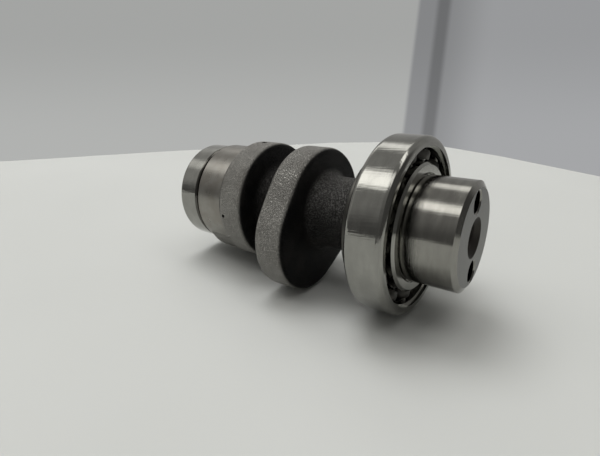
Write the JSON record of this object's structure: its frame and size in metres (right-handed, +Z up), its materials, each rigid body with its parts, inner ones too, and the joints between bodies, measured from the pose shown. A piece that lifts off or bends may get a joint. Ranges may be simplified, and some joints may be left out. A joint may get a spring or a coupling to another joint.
{
  "type": "camshaft",
  "caption": "Small-engine camshaft with cam lobes, a ground journal, a drilled timing-wheel boss and a ball bearing at each end.",
  "frame": {"origin": "on the shaft axis, in the middle of the front bearing's width", "axes": "+X along the shaft towards the boss that carries the timing wheel; +Z up as the shaft lies on its front bearing and both lobes"},
  "size_m": [0.081, 0.0423, 0.042],
  "materials": {
    "cast_iron": "cast skin on lobes and neck, ground on journal and boss",
    "race_steel": "ground",
    "cage_steel": "pressed sheet",
    "ball_steel": "polished"
  },
  "bodies": {
    "shaft": {"camshaft": "cast_iron", "front_inner_ring": "race_steel", "rear_inner_ring": "race_steel"},
    "front_race": {"front_outer_ring": "race_steel"},
    "front_ball_set": {"front_cage_near_half": "cage_steel", "front_cage_far_half": "cage_steel", "front_cage_rivets": "cage_steel", "front_ball_1": "ball_steel", "front_ball_2": "ball_steel", "front_ball_3": "ball_steel", "front_ball_4": "ball_steel", "front_ball_5": "ball_steel", "front_ball_6": "ball_steel", "front_ball_7": "ball_steel", "front_ball_8": "ball_steel", "front_ball_9": "ball_steel", "front_ball_10": "ball_steel", "front_ball_11": "ball_steel", "front_ball_12": "ball_steel", "front_ball_13": "ball_steel"},
    "rear_race": {"rear_outer_ring": "race_steel"},
    "rear_ball_set": {"rear_cage_near_half": "cage_steel", "rear_cage_far_half": "cage_steel", "rear_cage_rivets": "cage_steel", "rear_ball_1": "ball_steel", "rear_ball_2": "ball_steel", "rear_ball_3": "ball_steel", "rear_ball_4": "ball_steel", "rear_ball_5": "ball_steel", "rear_ball_6": "ball_steel", "rear_ball_7": "ball_steel", "rear_ball_8": "ball_steel", "rear_ball_9": "ball_steel", "rear_ball_10": "ball_steel"}
  },
  "joints": [
    {"name": "front_race_turn", "type": "hinge", "parent": "shaft", "child": "front_race", "pos_m": [0, 0, 0], "axis": [1, 0, 0], "continuous": true},
    {"name": "front_ball_set_turn", "type": "hinge", "parent": "shaft", "child": "front_ball_set", "pos_m": [0, 0, 0], "axis": [1, 0, 0], "continuous": true},
    {"name": "rear_race_turn", "type": "hinge", "parent": "shaft", "child": "rear_race", "pos_m": [-0.06045, 0, 0], "axis": [1, 0, 0], "continuous": true},
    {"name": "rear_ball_set_turn", "type": "hinge", "parent": "shaft", "child": "rear_ball_set", "pos_m": [-0.06045, 0, 0], "axis": [1, 0, 0], "continuous": true}
  ],
  "couplings": [
    {"joint": "front_ball_set_turn", "follows": "front_race_turn", "ratio": 0.57107},
    {"joint": "rear_ball_set_turn", "follows": "rear_race_turn", "ratio": 0.5923}
  ]
}
